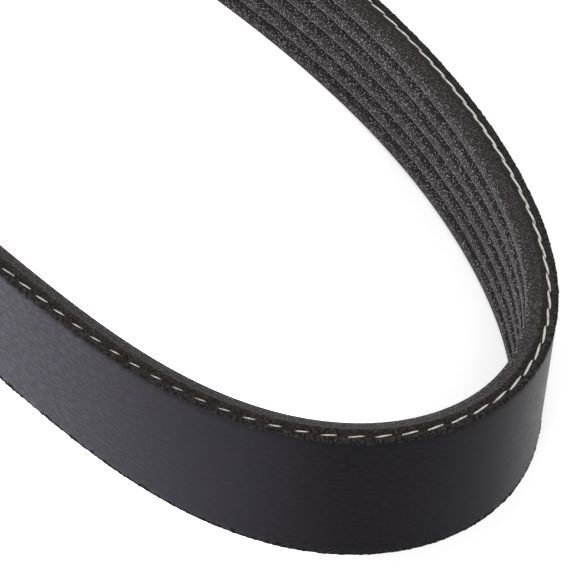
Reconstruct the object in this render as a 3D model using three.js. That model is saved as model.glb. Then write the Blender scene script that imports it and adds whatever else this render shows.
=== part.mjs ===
import * as THREE from "three";
import { mergeVertices } from "three/addons/utils/BufferGeometryUtils.js";

// A ribbed drive belt: one endless band that stands on its lower cut edge.
// The smooth back faces out, and the ribs run along the inside of the loop.
// Millimetres, +Z up, with the origin on the ground under the middle of the loop.

// Loop, seen from above, measured along the smooth back
const outsideLength = 800;
const bendRadius = 25.6;
const reachBeforeBend = 45.8;
const reachAfterBend = 26.2;
const bowRadius = 107;
const bowReach = 125;

// Ribs, whose two tip roundings may take no more than most of the crest
const ribCount = 6;
const ribPitch = 3.56;
const ribHeight = 1.95;
const ribAngle = 40;
const tipRadius = 0.25;
const valleyRadius = 0.25;
const mostOfCrest = 0.9;

// Band behind the ribs, from the smooth back inwards: cover, cord, cushion
const coverThickness = 0.65;
const cordDiameter = 0.8;
const cordClearance = 0.1;
const cushionThickness = 0.55;
const backCornerRadius = 0.25;

// Fineness of the faces
const stepsPerHalf = 36;
const evenShareOfSteps = 0.4;
const marksPerHalf = 1600;
const stepsPerHalfCorner = 1;
const cordSides = 8;
const joinTolerance = 1e-4;

// Worked out from the values above
const halfLength = outsideLength / 2;
const beltWidth = ribCount * ribPitch;
const grooveSize = cordDiameter + 2 * cordClearance;
const valleyFloor = coverThickness + grooveSize + cushionThickness;
const beltThickness = valleyFloor + ribHeight;
const flankLean = Math.tan(THREE.MathUtils.degToRad(ribAngle / 2));

// Half of the loop turns by 180 degrees, and the other half is the same again, turned about the middle.
// One tight bend takes most of the turn, and falls away over a reach of its own on either side.
// The run before it is nearly straight, and the run after it keeps a bow that falls away more slowly.
// What they leave of the turn is spread over the whole half, so the loop closes whatever the sizes are.
class BeltLine extends THREE.Curve {

  constructor(height) {
    super();
    const step = halfLength / marksPerHalf;
    const fade = (s, reach) => Math.exp(-((s / reach) ** 2));
    const bow = bendRadius / bowRadius;
    const bendShare = (s) => (s < 0
      ? fade(s, reachBeforeBend)
      : (1 - bow) * fade(s, reachAfterBend) + bow * fade(s, bowReach));
    const middles = Array.from({ length: marksPerHalf }, (_, i) => (i + 0.5) * step - halfLength / 2);
    const bendLength = middles.reduce((sum, s) => sum + bendShare(s) * step, 0);
    const runCurvature = (Math.PI - bendLength / bendRadius) / (halfLength - bendLength);
    const curvature = (s) => runCurvature + (1 / bendRadius - runCurvature) * bendShare(s);

    // Walk along the half, and note the place, the heading and the count of steps spent so far
    const evenSteps = evenShareOfSteps * Math.PI / halfLength;
    const marks = [{ x: 0, y: 0, heading: 0, spent: 0 }];
    for (const s of middles) {
      const last = marks.at(-1);
      const turn = curvature(s) * step;
      marks.push({
        x: last.x + step * Math.cos(last.heading + turn / 2),
        y: last.y + step * Math.sin(last.heading + turn / 2),
        heading: last.heading + turn,
        spent: last.spent + Math.abs(turn) + evenSteps * step,
      });
    }

    // The middle of the loop lies halfway between the ends of the half, and the bend points along +X
    const end = marks.at(-1);
    const middle = new THREE.Vector2(end.x, end.y).divideScalar(2);
    const bend = marks[marksPerHalf / 2];
    const lean = Math.atan2(bend.y - middle.y, bend.x - middle.x);
    for (const mark of marks) {
      const place = new THREE.Vector2(mark.x, mark.y).sub(middle).rotateAround(new THREE.Vector2(), -lean);
      mark.x = place.x;
      mark.y = place.y;
      mark.heading -= lean;
    }
    const allSteps = end.spent;
    for (const mark of marks) {
      mark.spent /= allSteps;
    }
    this.marks = marks;
    this.height = height;
  }

  // The mark at a share of the loop, between 0 and 1, with the second half turned about the middle
  markAt(share) {
    const halves = (share % 1) * 2;
    const side = halves < 1 ? 1 : -1;
    const spent = halves % 1;
    const next = Math.max(1, this.marks.findIndex((mark) => mark.spent > spent));
    const a = this.marks[next - 1];
    const b = this.marks[next];
    const part = (spent - a.spent) / (b.spent - a.spent);
    const mix = (key) => a[key] + (b[key] - a[key]) * part;
    return { x: side * mix("x"), y: side * mix("y"), heading: mix("heading") + (side < 0 ? Math.PI : 0) };
  }

  getPoint(share, target = new THREE.Vector3()) {
    const mark = this.markAt(share);
    return target.set(mark.x, mark.y, this.height);
  }

  getTangent(share, target = new THREE.Vector3()) {
    const mark = this.markAt(share);
    return target.set(Math.cos(mark.heading), Math.sin(mark.heading), 0);
  }

  getPointAt(share, target) {
    return this.getPoint(share, target);
  }

  getTangentAt(share, target) {
    return this.getTangent(share, target);
  }
}

// A closed outline through corners, each with its own radius, where 0 leaves it sharp
function roundedOutline(corners) {
  const outline = new THREE.Shape();
  corners.forEach(({ at, radius }, i) => {
    const before = corners.at(i - 1).at.clone().sub(at).normalize();
    const after = corners[(i + 1) % corners.length].at.clone().sub(at).normalize();
    if (radius === 0) {
      outline.lineTo(at.x, at.y);
      return;
    }
    const halfAngle = Math.acos(before.dot(after)) / 2;
    const reach = radius / Math.tan(halfAngle);
    const inwards = before.clone().add(after).normalize().multiplyScalar(radius / Math.sin(halfAngle));
    const centre = at.clone().add(inwards);
    const start = at.clone().addScaledVector(before, reach).sub(centre);
    const stop = at.clone().addScaledVector(after, reach).sub(centre);
    outline.absarc(centre.x, centre.y, radius, start.angle(), stop.angle(), before.cross(after) > 0);
  });
  return outline;
}

// The belt's section: x runs down from the upper cut edge, and y runs in from the smooth back.
// Each edge is cut along the middle of a valley, so it ends in half a valley and a bare flank.
function beltSection() {
  const corner = (x, y, radius = 0) => ({ at: new THREE.Vector2(x, y), radius });
  const sharpFloor = valleyFloor - valleyRadius * (1 / Math.sin(Math.atan(flankLean)) - 1);
  const flankRun = (beltThickness - sharpFloor) * flankLean;
  const cutFloor = (valleyFloor - sharpFloor) * flankLean;
  const crestHalf = ribPitch / 2 - flankRun;
  const tipCorner = Math.PI / 4 + Math.atan(flankLean) / 2;
  const tipRounding = Math.min(tipRadius, mostOfCrest * crestHalf * Math.tan(tipCorner));

  // One cut edge, from the back to the foot of the first flank, with the groove that bares the cord
  const cutEdge = (edge, inwards) => [
    corner(edge, 0, backCornerRadius),
    corner(edge, coverThickness),
    corner(edge + inwards * grooveSize, coverThickness),
    corner(edge + inwards * grooveSize, coverThickness + grooveSize),
    corner(edge, coverThickness + grooveSize),
    corner(edge, valleyFloor),
    corner(edge + inwards * cutFloor, valleyFloor),
  ];

  // The ribs, with a rounded valley between each two
  const ribs = [];
  for (let rib = 0; rib < ribCount; rib += 1) {
    const start = rib * ribPitch;
    if (rib > 0) {
      ribs.push(corner(start, sharpFloor, valleyRadius));
    }
    ribs.push(corner(start + flankRun, beltThickness, tipRounding));
    ribs.push(corner(start + ribPitch - flankRun, beltThickness, tipRounding));
  }
  return roundedOutline([...cutEdge(0, 1), ...ribs, ...cutEdge(beltWidth, -1).reverse()]);
}

// The cord that a cut edge bares, in the middle of its groove
function cordSection(edge, inwards) {
  const outline = new THREE.Shape();
  const depth = edge + inwards * grooveSize / 2;
  outline.absarc(depth, coverThickness + grooveSize / 2, cordDiameter / 2, 0, 2 * Math.PI);
  return outline;
}

// Sweep a section once round the loop. Only the walls are kept, and their ends join, so there is no lid.
function sweptRing(section, curveSegments) {
  const line = new BeltLine(beltWidth);
  const swept = new THREE.ExtrudeGeometry(section, {
    steps: 2 * stepsPerHalf,
    extrudePath: line,
    curveSegments,
  });
  const walls = swept.groups.find((group) => group.materialIndex === 1);
  const places = swept.attributes.position.array.slice(3 * walls.start, 3 * (walls.start + walls.count));
  const loose = new THREE.BufferGeometry();
  loose.setAttribute("position", new THREE.BufferAttribute(places, 3));
  const ring = mergeVertices(loose, joinTolerance);
  ring.computeVertexNormals();
  return ring;
}

function piece(name, geometry, color, roughness) {
  const material = new THREE.MeshStandardMaterial({ color, roughness, metalness: 0 });
  const mesh = new THREE.Mesh(geometry, material);
  mesh.name = name;
  return mesh;
}

const belt = new THREE.Group();
belt.add(piece("belt_body", sweptRing(beltSection(), stepsPerHalfCorner), "#2b2a2c", 0.6));
belt.add(piece("edge_cord_upper", sweptRing(cordSection(0, 1), cordSides / 2), "#d8d6cf", 0.85));
belt.add(piece("edge_cord_lower", sweptRing(cordSection(beltWidth, -1), cordSides / 2), "#d8d6cf", 0.85));

export default belt;
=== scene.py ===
import math
import random
import bmesh
import bpy
from mathutils import Matrix, Vector, noise


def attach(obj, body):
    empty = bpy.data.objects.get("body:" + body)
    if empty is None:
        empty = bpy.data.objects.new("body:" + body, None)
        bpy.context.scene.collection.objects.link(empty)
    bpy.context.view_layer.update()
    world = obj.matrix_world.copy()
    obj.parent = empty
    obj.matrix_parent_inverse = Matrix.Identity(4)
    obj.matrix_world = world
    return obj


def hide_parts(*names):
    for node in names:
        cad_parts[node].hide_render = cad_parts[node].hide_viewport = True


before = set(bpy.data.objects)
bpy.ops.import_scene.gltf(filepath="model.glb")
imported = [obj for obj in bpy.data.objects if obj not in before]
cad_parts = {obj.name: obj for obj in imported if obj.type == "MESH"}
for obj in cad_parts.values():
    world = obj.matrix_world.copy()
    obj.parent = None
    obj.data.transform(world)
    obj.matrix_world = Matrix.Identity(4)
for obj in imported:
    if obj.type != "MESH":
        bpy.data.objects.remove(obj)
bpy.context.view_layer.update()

# Lengths are in metres, and the belt's own are written in millimetres
MM = 0.001

# The loop, seen from above, as the smooth back runs
OUTSIDE_LENGTH = 800 * MM
BEND_RADIUS = 25.6 * MM
REACH_BEFORE_BEND = 45.8 * MM
REACH_AFTER_BEND = 26.2 * MM
BOW_RADIUS = 107 * MM
BOW_REACH = 125 * MM

# The belt's section
RIB_COUNT = 6
RIB_PITCH = 3.56 * MM
RIB_HEIGHT = 1.95 * MM
FLANK_LEAN = math.tan(math.radians(20))
TIP_RADIUS = 0.2 * MM
VALLEY_RADIUS = 0.25 * MM
COVER = 0.65 * MM
GROOVE = 1.0 * MM
CUSHION = 0.55 * MM
BACK_CORNER_RADIUS = 0.22 * MM
BELT_WIDTH = RIB_COUNT * RIB_PITCH
VALLEY_FLOOR = COVER + GROOVE + CUSHION
THICKNESS = VALLEY_FLOOR + RIB_HEIGHT
CORD_SHIFT = 0.04 * MM
CORD_AXIS = COVER + GROOVE / 2 + CORD_SHIFT
CORD_DEPTH = GROOVE / 2

# The cut edge, where the knife has bared the cord: a lip towards the back, and a shoulder towards the ribs
LIP_END = 0.62 * MM
TROUGH_START = LIP_END + 0.28 * MM
RUBBER_DEPTH = 0.305 * MM
SHOULDER_START = 1.45 * MM
SHOULDER_END = 1.75 * MM
SHOULDER_DEPTH = 0.04 * MM
TROUGH_ROUNDING = 0.06 * MM
FLOOR_ROUNDING = 0.05 * MM
EDGE_REACH = 0.5 * MM

# The twisted cord: two plies, each a bundle of yarns. It rises and sinks in the rubber along the loop.
CORD_LAYS = 113
PLY_RADIUS = 0.19 * MM
PLY_OFFSET = 0.13 * MM
YARNS_PER_PLY = 6
YARN_RELIEF = 0.1
CORD_DRIFT = 0.075 * MM
CORD_DRIFTS = 4
DRIFT_START = 0.256

# The torn wrap along the back's corners: how far it stands out, and the size and the share of its ridges
# and of the finer bits that break them up
TEAR = 0.17 * MM
RIDGE_SIZE = 1.1 * MM
RIDGE_FALL = 2.2
RIDGE_SHARE = 0.4
BIT_SIZE = 0.38 * MM
BIT_SHARE = 0.9

# The wrap's thread ends, rooted a little way in from the cut edge and from the back. Each leans across the
# back, out of it and along the run, and its middle lies a share of its length out from the root.
THREADS_PER_EDGE = 1500
THREAD_LENGTH = (0.25 * MM, 0.7 * MM)
THREAD_RADIUS = 0.05 * MM
THREAD_THICKNESS = (0.6, 1.1)
THREAD_TIP = 0.25
THREAD_MIDDLE = 0.4
ROOT_FROM_EDGE = (0.12 * MM, 0.4 * MM)
ROOT_FROM_BACK = (0.02 * MM, 0.1 * MM)
LEAN_ACROSS = (0.2, 1.0)
LEAN_OUT = (0.1, 0.45)
LEAN_ALONG = (0.2, 1.0)

# Fineness
BODY_STEPS = 560
CORD_STEPS_PER_LAY = 14
TORN_STEPS = 2400
STEPS_IN_A_STRETCH = 40
LINE_MARKS = 4000
LONGEST_STRAIGHT = 1.2 * MM
WELD = 5e-6
HAIR = 1e-6

# Where along the run the back's marks fade out before the bend, where they come back, and how far they fade.
# They end as strong as they start, because the run's two ends meet.
MARKS_FADE = (110 * MM, 165 * MM)
MARKS_RETURN = (330 * MM, 430 * MM)
MARKS_LOST = 0.96

# Ribs, in shares of the pitch down from a valley's middle: the end of the upper flank, which carries painted
# light where the rib above shades it, and the painted highlight line along the crest's lower corner. The
# brownish tone of the cut edge fades out towards the first crest.
UPPER_FLANK_END = (0.20, 0.27)
CREST_LINE_START = (0.68, 0.705)
CREST_LINE_END = (0.745, 0.77)
CUT_TONE = (BELT_WIDTH / 2 - 1.1 * MM, BELT_WIDTH / 2 - 0.5 * MM)

# The room's light, the floor with its glow, and the brighter pool on it before the belt's near run
ROOM_LIGHT = 0.3
FLOOR_HALF = 6.0
FLOOR_GLOW = 0.55
POOL_GLOW = 1.4
POOL_PLACE = (30 * MM, -120 * MM, 0)
POOL_EDGE = (155 * MM, 183 * MM)

# The photograph's view: a long lens above and in front of the bend. The lamps point at the bend too.
PHOTO_WIDTH = 576
FOCAL_PIXELS = 2159
SENSOR_WIDTH = 36
CAMERA_PLACE = (308.2 * MM, -145.0 * MM, 214.9 * MM)
CAMERA_AZIMUTH = 49.24
CAMERA_PITCH_DOWN = 42.52
CAMERA_ROLL = 2.26
BEND_PLACE = (150 * MM, 0, 10 * MM)


class BeltLine:
    """The run of the smooth back: places and headings at even steps along one half, turned for the other."""

    def __init__(self):
        half = OUTSIDE_LENGTH / 2
        step = half / LINE_MARKS
        middles = [(i + 0.5) * step - half / 2 for i in range(LINE_MARKS)]
        bend_length = sum(self.bend_share(s) for s in middles) * step
        run_curvature = (math.pi - bend_length / BEND_RADIUS) / (half - bend_length)
        x, y, heading = 0.0, 0.0, 0.0
        marks = [(x, y, heading)]
        for s in middles:
            turn = (run_curvature + (1 / BEND_RADIUS - run_curvature) * self.bend_share(s)) * step
            x += step * math.cos(heading + turn / 2)
            y += step * math.sin(heading + turn / 2)
            heading += turn
            marks.append((x, y, heading))
        # The middle of the loop comes to the origin, and the bend onto +X
        middle_x, middle_y = x / 2, y / 2
        bend = marks[LINE_MARKS // 2]
        lean = math.atan2(bend[1] - middle_y, bend[0] - middle_x)
        cos, sin = math.cos(lean), math.sin(lean)
        self.marks = []
        for x, y, heading in marks:
            x -= middle_x
            y -= middle_y
            self.marks.append((x * cos + y * sin, y * cos - x * sin, heading - lean))

    @staticmethod
    def bend_share(s):
        bow = BEND_RADIUS / BOW_RADIUS
        if s < 0:
            return math.exp(-((s / REACH_BEFORE_BEND) ** 2))
        near = (1 - bow) * math.exp(-((s / REACH_AFTER_BEND) ** 2))
        return near + bow * math.exp(-((s / BOW_REACH) ** 2))

    def at(self, share):
        """Place and heading at a share of the whole loop, from 0 to 1."""
        halves = (share % 1) * 2
        spot = (halves % 1) * LINE_MARKS
        i = min(int(spot), LINE_MARKS - 1)
        part = spot - i
        x, y, heading = (a + (b - a) * part for a, b in zip(self.marks[i], self.marks[i + 1]))
        return (-x, -y, heading + math.pi) if halves >= 1 else (x, y, heading)

    def frame_at(self, share, twist=0.0, depth=0.0, inwards=0.0):
        """Section frame: x down from the upper edge, y in from the smooth back, turned by twist."""
        x, y, heading = self.at(share)
        down = Vector((0, 0, -1))
        inward = Vector((-math.sin(heading), math.cos(heading), 0))
        along = Vector((math.cos(heading), math.sin(heading), 0))
        origin = Vector((x, y, BELT_WIDTH)) + down * depth + inward * inwards
        axes = Matrix((down, inward, along)).transposed() @ Matrix.Rotation(twist, 3, "Z")
        return Matrix.Translation(origin) @ axes.to_4x4()


LINE = BeltLine()


# Sections and sweeps
def rounded(corners):
    """Section points through corners (x, y, radius, steps), each rounded by an arc."""
    points = []
    for i, (x, y, radius, steps) in enumerate(corners):
        at = Vector((x, y))
        before = (Vector(corners[i - 1][:2]) - at).normalized()
        after = (Vector(corners[(i + 1) % len(corners)][:2]) - at).normalized()
        half_angle = before.angle(after) / 2
        centre = at + (before + after).normalized() * (radius / math.sin(half_angle))
        start = at + before * (radius / math.tan(half_angle)) - centre
        turn = math.pi - 2 * half_angle
        if before.cross(after) > 0:
            turn = -turn
        for k in range(steps + 1):
            points.append(centre + Matrix.Rotation(turn * k / steps, 2) @ start)
    return points


def dense(points, longest):
    """The same closed outline with long straight stretches cut into shorter ones."""
    out = []
    for i, a in enumerate(points):
        b = points[(i + 1) % len(points)]
        cuts = max(1, math.ceil((b - a).length / longest))
        out += [a.lerp(b, k / cuts) for k in range(cuts)]
    return out


def stretch_of_ring(outlines, frames, first, total):
    """Closed outlines extruded along some frames. Each vertex knows its row in the outline and its step."""
    bm = bmesh.new()
    row = bm.verts.layers.int.new("row")
    step = bm.verts.layers.int.new("step")
    edges = []
    for outline in outlines:
        verts = [bm.verts.new(frames[0] @ p.to_3d()) for p in outline]
        edges += [bm.edges.new((verts[i - 1], verts[i])) for i in range(len(verts))]
    for i, v in enumerate(bm.verts):
        v[row] = i
        v[step] = first
    for i in range(1, len(frames)):
        made = bmesh.ops.extrude_edge_only(bm, edges=edges)["geom"]
        verts = [g for g in made if isinstance(g, bmesh.types.BMVert)]
        edges = [g for g in made if isinstance(g, bmesh.types.BMEdge)]
        bmesh.ops.transform(bm, matrix=frames[i] @ frames[i - 1].inverted(), verts=verts)
        for v in verts:
            v[step] = (first + i) % total
    return bm


def sweep_ring(outlines, frames):
    """Closed outlines swept once round the loop, a stretch at a time, and welded end to end."""
    ring = bmesh.new()
    total = len(frames) - 1
    for first in range(0, total, STEPS_IN_A_STRETCH):
        part = stretch_of_ring(outlines, frames[first:first + STEPS_IN_A_STRETCH + 1], first, total)
        add_mesh(ring, part)
    bmesh.ops.remove_doubles(ring, verts=ring.verts, dist=WELD)
    bmesh.ops.recalc_face_normals(ring, faces=ring.faces)
    return ring


def add_mesh(whole, part):
    """Move what one bmesh holds into another."""
    mesh = bpy.data.meshes.new("part")
    part.to_mesh(mesh)
    part.free()
    whole.from_mesh(mesh)
    bpy.data.meshes.remove(mesh)


def new_piece(bm, name, materials, replaced=None):
    """A finished piece of the belt, on its one body."""
    mesh = bpy.data.meshes.new(name)
    bm.to_mesh(mesh)
    bm.free()
    piece = bpy.data.objects.new(name, mesh)
    bpy.context.scene.collection.objects.link(piece)
    for material in materials:
        mesh.materials.append(material)
    mesh.shade_smooth()
    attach(piece, "root")
    if replaced:
        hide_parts(replaced)
    return piece


# Shaders
class Value:
    """A node socket that can be used in plain arithmetic."""

    def __init__(self, nodes, socket):
        self.nodes = nodes
        self.socket = socket

    def _math(self, operation, *others):
        return self.nodes.add("ShaderNodeMath", {"operation": operation}, *others)

    def __add__(self, other):
        return self._math("ADD", self, other)

    def __radd__(self, other):
        return self._math("ADD", other, self)

    def __sub__(self, other):
        return self._math("SUBTRACT", self, other)

    def __rsub__(self, other):
        return self._math("SUBTRACT", other, self)

    def __mul__(self, other):
        return self._math("MULTIPLY", self, other)

    def __rmul__(self, other):
        return self._math("MULTIPLY", other, self)

    def step(self, low, high):
        """0 below low, 1 above high, smooth between."""
        settings = {"interpolation_type": "SMOOTHSTEP"}
        return self.nodes.add("ShaderNodeMapRange", settings, self, low, high, 0.0, 1.0)


class Nodes:
    """The nodes of one material or world."""

    def __init__(self, tree):
        self.tree = tree

    def add(self, kind, settings=None, *inputs, output=0, **named):
        made = self.tree.nodes.new(kind)
        for key, value in (settings or {}).items():
            setattr(made, key, value)
        pairs = [*zip(made.inputs, inputs), *((made.inputs[key], value) for key, value in named.items())]
        for socket, value in pairs:
            self.plug(socket, value)
        return Value(self, made.outputs[output])

    def plug(self, socket, value):
        if isinstance(value, Value):
            self.tree.links.new(value.socket, socket)
        else:
            socket.default_value = value

    def place(self):
        return self.add("ShaderNodeTexCoord", output="Object")

    def uv(self):
        return self.add("ShaderNodeTexCoord", output="UV")

    def mapped(self, vector, scale, turn=0.0):
        return self.add("ShaderNodeMapping", {}, vector, Scale=scale, Rotation=(0, 0, turn))

    def noise(self, scale, detail=2.0, roughness=0.5, vector=None):
        return self.add(
            "ShaderNodeTexNoise", {}, Vector=vector or self.place(),
            Scale=scale, Detail=detail, Roughness=roughness)

    def cells(self, scale, vector=None):
        return self.add("ShaderNodeTexVoronoi", {}, Vector=vector or self.place(), Scale=scale)

    def mix(self, factor, a, b):
        """A colour between a and b."""
        made = self.tree.nodes.new("ShaderNodeMix")
        made.data_type = "RGBA"
        for index, value in ((0, factor), (6, a), (7, b)):
            self.plug(made.inputs[index], value)
        return Value(self, made.outputs[2])

    def bump(self, height, strength, distance):
        return self.add("ShaderNodeBump", {}, Height=height, Strength=strength, Distance=distance)

    def seen(self):
        """1 for what the camera sees, directly, mirrored or through glass."""
        rays = [self.add("ShaderNodeLightPath", output=f"Is {kind} Ray")
                for kind in ("Camera", "Glossy", "Transmission")]
        return (rays[0] + rays[1] + rays[2]).step(0.0, 1.0)


class Finish(Nodes):
    """One material, with its Principled surface."""

    def __init__(self, name):
        self.material = bpy.data.materials.new(name)
        self.material.use_nodes = True
        super().__init__(self.material.node_tree)
        self.surface = self.tree.nodes["Principled BSDF"]

    def set(self, **inputs):
        for name, value in inputs.items():
            self.plug(self.surface.inputs[name.replace("_", " ")], value)
        return self.material


def gray(value, red=0.0, blue=0.0):
    return (value * (1 + red), value, value * (1 + blue), 1.0)


def satin_back():
    """Smooth back: black and satin, with the short slanting marks that the wrap leaves in it, whose pale
    tone is partly their own and partly painted sheen.
    """
    finish = Finish("satin_back")
    black, rubbed_black = gray(0.0032, 0.3, 1.0), gray(0.0062, 0.3, 1.0)
    # The mark colour is partly the marks' own pale tone and partly painted sheen.
    mark_and_sheen_gray = gray(0.058, 0.05, 0.3)
    clouds = finish.noise(70, 3)
    marks = finish.noise(1, 3, 0.6, finish.mapped(finish.uv(), (720, 2200, 1), math.radians(14)))
    strokes = finish.noise(1, 2, 0.5, finish.mapped(finish.uv(), (300, 1000, 1), math.radians(-8)))
    grain = finish.noise(7000, 2)
    tone = clouds * 0.3 + marks * 0.5 + strokes * 0.2
    along = finish.add("ShaderNodeSeparateXYZ", {}, finish.uv(), output="X")
    marked = 1 - along.step(*MARKS_FADE) * MARKS_LOST + along.step(*MARKS_RETURN) * MARKS_LOST
    color = finish.mix(tone.step(0.35, 0.65), black, rubbed_black)
    # The marks' relief is real; their pale bluish tone is partly painted sheen.
    color = finish.mix(marks.step(0.47, 0.60) * marked, color, mark_and_sheen_gray)
    return finish.set(
        Base_Color=color,
        Roughness=tone.step(0.3, 0.7) * 0.12 + 0.32,
        Specular_IOR_Level=0.08,
        Normal=finish.bump((marks * 0.6 + strokes * 0.2) * marked + grain * 0.15, 1.0, 0.08 * MM))


def cut_edge():
    """The knife-cut edge: matt, brownish black, torn into fine crumbs."""
    finish = Finish("cut_edge")
    brown_black, pale_crumb = gray(0.008, 0.2, -0.1), gray(0.050, 0.2, -0.12)
    soiled = gray(0.016, 0.3, -0.05)
    crumbs = finish.cells(2400)
    grit = finish.noise(3300, 3, 0.6)
    patches = finish.noise(500, 2)
    color = finish.mix(grit.step(0.38, 0.68), brown_black, pale_crumb)
    color = finish.mix(patches.step(0.45, 0.65) * 0.5, color, soiled)
    return finish.set(
        Base_Color=color,
        Roughness=0.85,
        Specular_IOR_Level=0.12,
        Normal=finish.bump(crumbs * 0.5 + grit * 0.8, 0.9, 0.12 * MM))


def torn_wrap():
    """The torn wrap at the back's corners: black threads with a few paler ends."""
    finish = Finish("torn_wrap")
    dark_thread, worn_thread = gray(0.007, 0.2, -0.05), gray(0.034, 0.16, -0.04)
    pale_end = gray(0.09, 0.1, -0.06)
    threads = finish.noise(1, 2, 0.6, finish.mapped(finish.uv(), (2600, 1300, 1), math.radians(35)))
    pale = finish.noise(2600, 1)
    color = finish.mix(threads.step(0.4, 0.65), dark_thread, worn_thread)
    color = finish.mix(pale.step(0.60, 0.7) * 0.6, color, pale_end)
    return finish.set(
        Base_Color=color,
        Roughness=0.85,
        Specular_IOR_Level=0.12,
        Normal=finish.bump(threads, 0.8, 0.1 * MM))


def rib_flock():
    """Ground rib rubber: dark grey, with short pale fibres standing out all over, tiny dots that are partly
    pale fibre ends and partly painted glints, a painted highlight along each crest's lower corner and
    painted light on the shaded upper flanks.
    """
    finish = Finish("rib_flock")
    dark_rubber, gray_rubber = gray(0.004, 0.24, 0.02), gray(0.013, 0.24, 0.02)
    # The flank colour on the next line is painted light for the upper flanks, which the rib above shades.
    drift_gray, flank_painted_light_gray = gray(0.015, 0.14, 0.0), gray(0.050, 0.14, 0.04)
    # The crest colour on the next line is a painted highlight for each crest's lower corner.
    crest_highlight_gray = gray(0.20, 0.08, 0.02)
    # The bright dot colour stands partly for pale fibre ends and partly for painted glints.
    fibre_gray, fibre_end_and_glint_gray = gray(0.24, 0.13, 0.03), gray(0.85, 0.06, -0.03)
    brown_black, pale_crumb = gray(0.006, 0.3, -0.1), gray(0.055, 0.25, -0.12)
    grain = finish.noise(4300, 2, 0.6)
    specks = finish.noise(4000, 1, 0.5)
    fibre_ends_and_glints = finish.cells(2500)
    drifts = finish.noise(330, 2)
    height = finish.add("ShaderNodeSeparateXYZ", {}, finish.place(), output="Z")
    off_middle = finish.add("ShaderNodeMath", {"operation": "ABSOLUTE"}, height - BELT_WIDTH / 2)
    down = finish.add("ShaderNodeMath", {"operation": "FRACT"}, (BELT_WIDTH - height) * (1 / RIB_PITCH))
    # A painted highlight line along each crest's lower corner.
    painted_crest_highlight = down.step(*CREST_LINE_START) * (1 - down.step(*CREST_LINE_END))
    # Painted light: the upper flank is made lighter where the rib above shades it.
    painted_flank_light = 1 - down.step(*UPPER_FLANK_END)
    color = finish.mix(grain.step(0.38, 0.64), dark_rubber, gray_rubber)
    color = finish.mix(drifts.step(0.4, 0.65) * 0.25, color, drift_gray)
    color = finish.mix(painted_flank_light * 0.25, color, flank_painted_light_gray)
    color = finish.mix(specks.step(0.61, 0.67) * 0.95, color, fibre_gray)
    # Tiny bright dots: partly pale fibre ends, partly painted glints.
    color = finish.mix((1 - fibre_ends_and_glints.step(0.12, 0.24)) * 0.95, color, fibre_end_and_glint_gray)
    color = finish.mix(painted_crest_highlight * 0.8, color, crest_highlight_gray)
    crumbs = finish.mix(specks.step(0.50, 0.64), brown_black, pale_crumb)
    color = finish.mix(off_middle.step(*CUT_TONE) * 0.9, color, crumbs)
    return finish.set(
        Base_Color=color,
        Roughness=0.8,
        Specular_IOR_Level=0.15,
        Sheen_Weight=0.12,
        Normal=finish.bump(grain * 0.6 + specks * 0.6, 0.8, 0.09 * MM))


def cord_yarn():
    """White cord, a little soiled where the rubber clings to it."""
    finish = Finish("cord_yarn")
    white, soiled_white = gray(0.80, 0.02, -0.06), gray(0.38, 0.06, -0.1)
    soil = finish.noise(800, 3)
    hairs = finish.noise(9000, 2)
    color = finish.mix(soil.step(0.48, 0.72), white, soiled_white)
    return finish.set(
        Base_Color=color,
        Roughness=0.7,
        Specular_IOR_Level=0.3,
        Normal=finish.bump(hairs, 0.3, 0.02 * MM))


# The belt's body
BACK, EDGE, RIB = range(3)


def body_outline():
    """Section of the belt: the smooth back, the two cut edges with their troughs, and the ribs."""
    sharp_floor = VALLEY_FLOOR - VALLEY_RADIUS * (1 / math.sin(math.atan(FLANK_LEAN)) - 1)
    flank_run = (THICKNESS - sharp_floor) * FLANK_LEAN
    cut_floor = (VALLEY_FLOOR - sharp_floor) * FLANK_LEAN

    def cut(edge, side):
        return [
            (edge, 0, BACK_CORNER_RADIUS, 3),
            (edge, LIP_END, TROUGH_ROUNDING, 2),
            (edge + side * RUBBER_DEPTH, TROUGH_START, TROUGH_ROUNDING, 1),
            (edge + side * RUBBER_DEPTH, SHOULDER_START, TROUGH_ROUNDING, 1),
            (edge + side * SHOULDER_DEPTH, SHOULDER_END, TROUGH_ROUNDING, 2),
            (edge, VALLEY_FLOOR, FLOOR_ROUNDING, 2),
            (edge + side * cut_floor, VALLEY_FLOOR, FLOOR_ROUNDING, 2),
        ]

    corners = cut(0, 1)
    for rib in range(RIB_COUNT):
        start = rib * RIB_PITCH
        if rib > 0:
            corners.append((start, sharp_floor, VALLEY_RADIUS, 4))
        corners.append((start + flank_run, THICKNESS, TIP_RADIUS, 3))
        corners.append((start + RIB_PITCH - flank_run, THICKNESS, TIP_RADIUS, 3))
    corners += cut(BELT_WIDTH, -1)[::-1]
    return dense(rounded(corners), LONGEST_STRAIGHT)


def paint_and_unwrap(bm, outline, steps, finish_of):
    """Give each face its finish, and a map in metres along the run and round the section."""
    row, step = bm.verts.layers.int["row"], bm.verts.layers.int["step"]
    uv = bm.loops.layers.uv.new("UVMap")
    rows = len(outline)
    girth = [0.0]
    for a, b in zip(outline, outline[1:] + outline[:1]):
        girth.append(girth[-1] + (b - a).length)
    for face in bm.faces:
        face_rows = [v[row] for v in face.verts]
        last_row = max(face_rows) - min(face_rows) > 1
        face_steps = [v[step] for v in face.verts]
        last_step = max(face_steps) - min(face_steps) > 1
        middle = sum((outline[r] for r in face_rows), Vector((0, 0))) / len(face_rows)
        face.material_index = finish_of(middle)
        for loop in face.loops:
            r, s = loop.vert[row], loop.vert[step]
            r = rows if last_row and r == 0 else r
            s = steps if last_step and s == 0 else s
            loop[uv].uv = (s / steps * OUTSIDE_LENGTH, girth[r])


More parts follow.
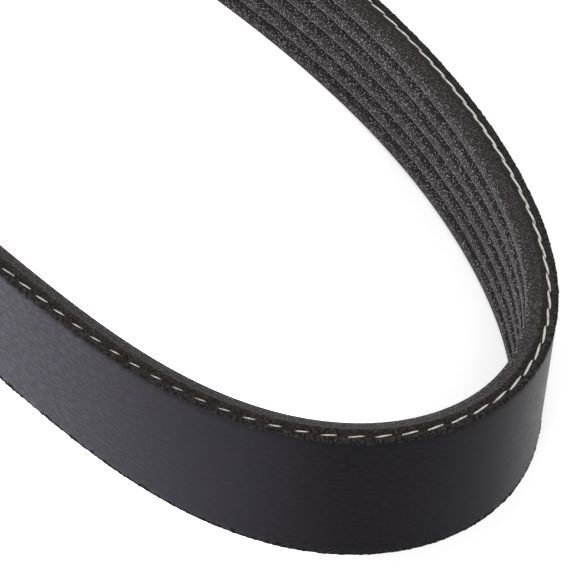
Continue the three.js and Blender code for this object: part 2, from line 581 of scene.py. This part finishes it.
def body_finish(middle):
    """Which finish a face has, by the middle of its place in the section."""
    from_edge = min(middle.x, BELT_WIDTH - middle.x)
    if middle.y < HAIR:
        return BACK
    if middle.y <= VALLEY_FLOOR + HAIR and from_edge < EDGE_REACH:
        return EDGE
    return RIB


def belt_body():
    outline = body_outline()
    frames = [LINE.frame_at(i / BODY_STEPS) for i in range(BODY_STEPS + 1)]
    bm = sweep_ring([outline], frames)
    paint_and_unwrap(bm, outline, BODY_STEPS, body_finish)
    new_piece(bm, "belt_rubber", [satin_back(), cut_edge(), rib_flock()], "belt_body")


# The torn wrap along the two corners of the back, in millimetres from the cut edge and from the back
TORN_SKIN = [(0.6, 0.05), (0.46, 0.04), (0.32, 0.015), (0.16, -0.01), (0.03, 0.05),
             (-0.03, 0.18), (-0.02, 0.32), (-0.02, 0.46), (0.0, 0.58), (0.09, 0.7)]
TORN_ROOT = [(0.26, 0.72), (0.34, 0.3)]
TORN_HEART = (0.3, 0.38)


def tear(place):
    """How far the wrap stands out at a place, from 0 to 1: ridges, broken up by finer bits."""
    ridges = 1 - abs(noise.noise(place / RIDGE_SIZE)) * RIDGE_FALL
    bits = noise.noise(place / BIT_SIZE)
    return min(max(RIDGE_SHARE * ridges + BIT_SHARE * bits, 0.0), 1.0)


def torn_wrap_edge(name, edge, side, material, seed):
    """A thin uneven skin over one back corner, with the ends of its threads standing out."""

    def point(spot):
        return Vector((edge + side * spot[0] * MM, spot[1] * MM))

    outline = [point(spot) for spot in TORN_SKIN + TORN_ROOT]
    frames = [LINE.frame_at(i / TORN_STEPS) for i in range(TORN_STEPS + 1)]
    bm = sweep_ring([outline], frames)
    paint_and_unwrap(bm, outline, TORN_STEPS, lambda middle: 0)
    row, step = bm.verts.layers.int["row"], bm.verts.layers.int["step"]
    for v in bm.verts:
        if v[row] < len(TORN_SKIN):
            spot = outline[v[row]]
            out = (spot - point(TORN_HEART)).normalized()
            v.co = frames[v[step]] @ (spot + out * (tear(v.co) * TEAR)).to_3d()
            v.co.z = max(v.co.z, 0.0)
    add_mesh(bm, thread_ends(edge, side, seed))
    new_piece(bm, name, [material])


def thread_ends(edge, side, seed):
    """Short tapered thread ends, each with its own place, lean, length and thickness, at random."""
    threads = bmesh.new()
    draw = random.Random(seed)
    for i in range(THREADS_PER_EDGE):
        here = LINE.frame_at((i + draw.random()) / THREADS_PER_EDGE)
        across = edge + side * draw.uniform(*ROOT_FROM_EDGE)
        root = Vector((across, draw.uniform(*ROOT_FROM_BACK), 0))
        along = draw.choice((-1, 1)) * draw.uniform(*LEAN_ALONG)
        way = Vector((side * draw.uniform(*LEAN_ACROSS), -draw.uniform(*LEAN_OUT), along)).normalized()
        length = draw.uniform(*THREAD_LENGTH)
        radius = THREAD_RADIUS * draw.uniform(*THREAD_THICKNESS)
        turn = way.to_track_quat("Z", "Y").to_matrix().to_4x4()
        bmesh.ops.create_cone(
            threads, cap_ends=True, segments=4, radius1=radius, radius2=radius * THREAD_TIP, depth=length,
            matrix=here @ Matrix.Translation(root + way * length * THREAD_MIDDLE) @ turn)
    return threads


# The cords
def ply_outline(angle):
    """One ply: a bundle of yarns, so a lobed circle beside the cord's axis."""
    centre = Vector((math.cos(angle), math.sin(angle))) * PLY_OFFSET
    points = []
    sides = YARNS_PER_PLY * 2
    for k in range(sides):
        turn = 2 * math.pi * k / sides
        radius = PLY_RADIUS * (1 if k % 2 else 1 - YARN_RELIEF)
        points.append(centre + Vector((math.cos(turn), math.sin(turn))) * radius)
    return points


def edge_cord(name, node, depth, side, material):
    """Two plies twisted round the cord's axis, which drifts in and out of the rubber along the loop."""
    steps = CORD_LAYS * CORD_STEPS_PER_LAY
    frames = []
    for i in range(steps + 1):
        share = i / steps
        drift = -side * CORD_DRIFT * math.sin(2 * math.pi * CORD_DRIFTS * (share - DRIFT_START))
        twist = -2 * math.pi * CORD_LAYS * share
        frames.append(LINE.frame_at(share, twist, depth + drift, CORD_AXIS))
    bm = sweep_ring([ply_outline(0), ply_outline(math.pi)], frames)
    new_piece(bm, name, [material], node)


def build_belt():
    belt_body()
    wrap = torn_wrap()
    torn_wrap_edge("torn_wrap_upper", 0, 1, wrap, 11)
    torn_wrap_edge("torn_wrap_lower", BELT_WIDTH, -1, wrap, 12)
    yarn = cord_yarn()
    edge_cord("twisted_cord_upper", "edge_cord_upper", CORD_DEPTH, 1, yarn)
    edge_cord("twisted_cord_lower", "edge_cord_lower", BELT_WIDTH - CORD_DEPTH, -1, yarn)


# Stage, lamps and camera
def build_floor():
    """A white floor. Its glow is seen, directly or mirrored, and lights nothing."""
    bm = bmesh.new()
    bmesh.ops.create_grid(bm, x_segments=1, y_segments=1, size=FLOOR_HALF)
    mesh = bpy.data.meshes.new("floor")
    bm.to_mesh(mesh)
    bm.free()
    floor = bpy.data.objects.new("floor", mesh)
    bpy.context.scene.collection.objects.link(floor)
    finish = Finish("pale_floor")
    finish.set(Base_Color=gray(0.8), Roughness=0.9, Specular_IOR_Level=0.2)
    plain = Value(finish, finish.surface.outputs[0])
    distance = {"operation": "DISTANCE"}
    apart = finish.add("ShaderNodeVectorMath", distance, finish.place(), POOL_PLACE, output="Value")
    pool = 1 - apart.step(*POOL_EDGE)
    plain_white, pool_white = gray(1.0), gray(0.98, 0.03, 0.12)
    tint = finish.mix(pool, plain_white, pool_white)
    glow = finish.add("ShaderNodeEmission", {}, tint, pool * POOL_GLOW + FLOOR_GLOW)
    white = finish.add("ShaderNodeAddShader", {}, plain, glow)
    mixed = finish.add("ShaderNodeMixShader", {}, finish.seen(), plain, white)
    finish.plug(finish.tree.nodes["Material Output"].inputs["Surface"], mixed)
    mesh.materials.append(finish.material)


def build_world():
    """Even light from the room, which is white where it is seen."""
    world = bpy.data.worlds.new("studio")
    bpy.context.scene.world = world
    world.use_nodes = True
    nodes = Nodes(world.node_tree)
    light = nodes.add("ShaderNodeBackground", {}, gray(1.0), ROOM_LIGHT)
    white = nodes.add("ShaderNodeBackground", {}, gray(1.0), 1.0)
    mixed = nodes.add("ShaderNodeMixShader", {}, nodes.seen(), light, white)
    nodes.plug(nodes.tree.nodes["World Output"].inputs["Surface"], mixed)


def soft_lamp(name, place, target, size, power, color):
    data = bpy.data.lights.new(name, "AREA")
    data.shape = "RECTANGLE"
    data.size, data.size_y = size
    data.energy = power
    data.color = color
    lamp = bpy.data.objects.new(name, data)
    lamp.location = place
    lamp.rotation_euler = (Vector(target) - Vector(place)).to_track_quat("-Z", "Y").to_euler()
    bpy.context.scene.collection.objects.link(lamp)


def around(azimuth, distance, height):
    """A place round the photographed bend, by azimuth: 0 lies towards the camera, 90 to its right."""
    bearing = math.radians(CAMERA_AZIMUTH + azimuth)
    return (BEND_PLACE[0] + math.sin(bearing) * distance, -math.cos(bearing) * distance, height)


def build_lamps():
    cool, neutral = (0.92, 0.93, 1.0), (1.0, 1.0, 1.0)
    soft_lamp("overhead", (0.1, 0.1, 1.4), BEND_PLACE, (1.4, 1.4), 5.5, neutral)
    soft_lamp("front_panel", around(-10, 1.0, 0.85), BEND_PLACE, (0.8, 0.8), 6.5, neutral)
    soft_lamp("back_panel", around(180, 0.9, 0.3), BEND_PLACE, (0.8, 0.4), 2, neutral)
    soft_lamp("left_panel", around(-112, 0.9, 0.14), BEND_PLACE, (0.9, 0.22), 4, cool)


def build_camera():
    data = bpy.data.cameras.new("camera")
    data.sensor_fit = "HORIZONTAL"
    data.sensor_width = SENSOR_WIDTH
    data.lens = FOCAL_PIXELS * SENSOR_WIDTH / PHOTO_WIDTH
    data.clip_start = 0.01
    data.clip_end = 50
    camera = bpy.data.objects.new("camera", data)
    turn = (
        Matrix.Rotation(math.radians(CAMERA_AZIMUTH), 4, "Z")
        @ Matrix.Rotation(math.radians(90 - CAMERA_PITCH_DOWN), 4, "X")
        @ Matrix.Rotation(math.radians(CAMERA_ROLL), 4, "Z"))
    camera.matrix_world = Matrix.Translation(CAMERA_PLACE) @ turn
    bpy.context.scene.collection.objects.link(camera)
    bpy.context.scene.camera = camera


build_camera()
build_belt()
build_floor()
build_world()
build_lamps()
bpy.context.scene.view_settings.view_transform = "Standard"
